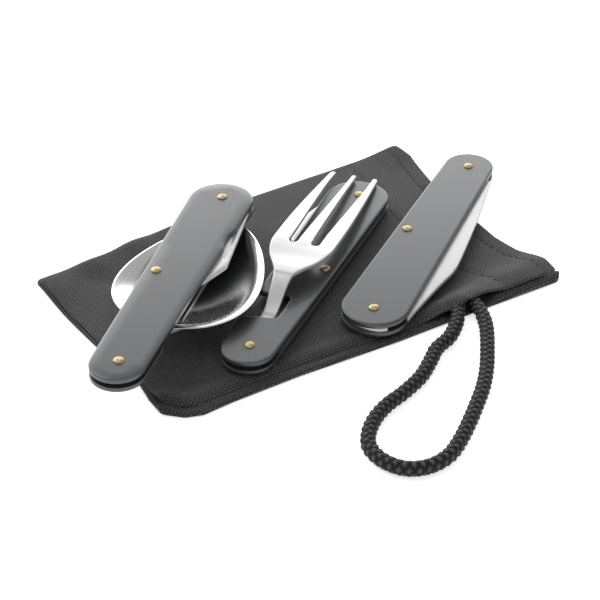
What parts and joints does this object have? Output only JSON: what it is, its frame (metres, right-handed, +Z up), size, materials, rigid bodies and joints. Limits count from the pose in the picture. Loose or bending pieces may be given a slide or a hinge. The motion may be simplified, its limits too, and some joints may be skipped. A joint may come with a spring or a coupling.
{
  "type": "folding picnic cutlery set",
  "caption": "Folding knife, fork and spoon with black scales, brass rivets and openers, laid on a woven drawstring pouch with a braided cord loop.",
  "frame": {"origin": "on the floor plane under the middle of the pouch's flat underside, on the face the set rests on", "axes": "+X to the right along the longer extent of the laid-out set, +Y away from the viewer, +Z up out of the pouch"},
  "size_m": [0.157, 0.1714, 0.0163],
  "materials": {
    "black_scale": "satin black anodised, softly rounded edges",
    "polished_steel": "polished stainless with fine brushing",
    "steel_spring": "ground spring steel",
    "brass_rivet": "peened and buffed",
    "pouch_fabric": "plain woven polyester",
    "braided_cord": "round braided polyester"
  },
  "bodies": {
    "pouch": {"pouch_lower_panel": "pouch_fabric", "pouch_upper_panel": "pouch_fabric", "casing_lower_hem": "pouch_fabric", "casing_upper_hem": "pouch_fabric", "near_side_seam": "pouch_fabric", "far_side_seam": "pouch_fabric", "drawstring_loop": "braided_cord"},
    "knife_handle": {"knife_top_scale": "black_scale", "knife_bottom_scale": "black_scale", "knife_back_spring": "steel_spring", "knife_pivot_rivet": "brass_rivet", "knife_spring_rivet": "brass_rivet", "knife_butt_rivet": "brass_rivet"},
    "knife_blade": {"knife_blade": "polished_steel"},
    "fork_handle": {"fork_top_scale": "black_scale", "fork_bottom_scale": "black_scale", "fork_back_spring": "steel_spring", "fork_pivot_rivet": "brass_rivet", "fork_spring_rivet": "brass_rivet", "fork_opener_rivet": "brass_rivet"},
    "fork_head": {"fork_head": "polished_steel"},
    "fork_opener": {"fork_opener": "polished_steel"},
    "spoon_handle": {"spoon_lower_scale": "black_scale", "spoon_upper_scale": "black_scale", "spoon_back_spring": "steel_spring", "spoon_pivot_rivet": "brass_rivet", "spoon_spring_rivet": "brass_rivet", "spoon_opener_rivet": "brass_rivet"},
    "spoon_bowl": {"spoon_bowl": "polished_steel"},
    "spoon_opener": {"spoon_opener": "polished_steel"}
  },
  "joints": [
    {"name": "knife_lift", "type": "slide", "parent": "pouch", "child": "knife_handle", "axis": [0, 0, 1], "range_m": [0, 0.0905]},
    {"name": "knife_blade_hinge", "type": "hinge", "parent": "knife_handle", "child": "knife_blade", "pos_m": [0.0551, 0.0676, 0.0045], "axis": [0, 0, 1], "range_deg": [0, 180]},
    {"name": "fork_lift", "type": "slide", "parent": "pouch", "child": "fork_handle", "axis": [0.6762, -0.2067, 0.7071], "range_m": [0, 0.3055]},
    {"name": "fork_head_hinge", "type": "hinge", "parent": "fork_handle", "child": "fork_head", "pos_m": [-0.0141, -0.032, 0.0045], "axis": [0, 0, 1], "range_deg": [0, 178]},
    {"name": "fork_opener_hinge", "type": "hinge", "parent": "fork_handle", "child": "fork_opener", "pos_m": [0.01872, 0.04965, 0.0045], "axis": [0, 0, -1], "range_deg": [0, 180]},
    {"name": "spoon_lift", "type": "slide", "parent": "pouch", "child": "spoon_handle", "axis": [0, 0, 1], "range_m": [0, 0.285]},
    {"name": "spoon_bowl_hinge", "type": "hinge", "parent": "spoon_handle", "child": "spoon_bowl", "pos_m": [-0.0485, -0.0514, 0.0135], "axis": [0, 0, -1], "range_deg": [0, 176.7]},
    {"name": "spoon_opener_hinge", "type": "hinge", "parent": "spoon_handle", "child": "spoon_opener", "pos_m": [-0.02395, 0.03311, 0.0135], "axis": [0, 0, 1], "range_deg": [0, 180]}
  ],
  "couplings": [
    {"joint": "knife_lift", "follows": "knife_blade_hinge", "m_per_rad": 0.0286},
    {"joint": "fork_lift", "follows": "fork_head_hinge", "m_per_rad": 0.0973},
    {"joint": "spoon_lift", "follows": "spoon_bowl_hinge", "m_per_rad": 0.0917}
  ]
}
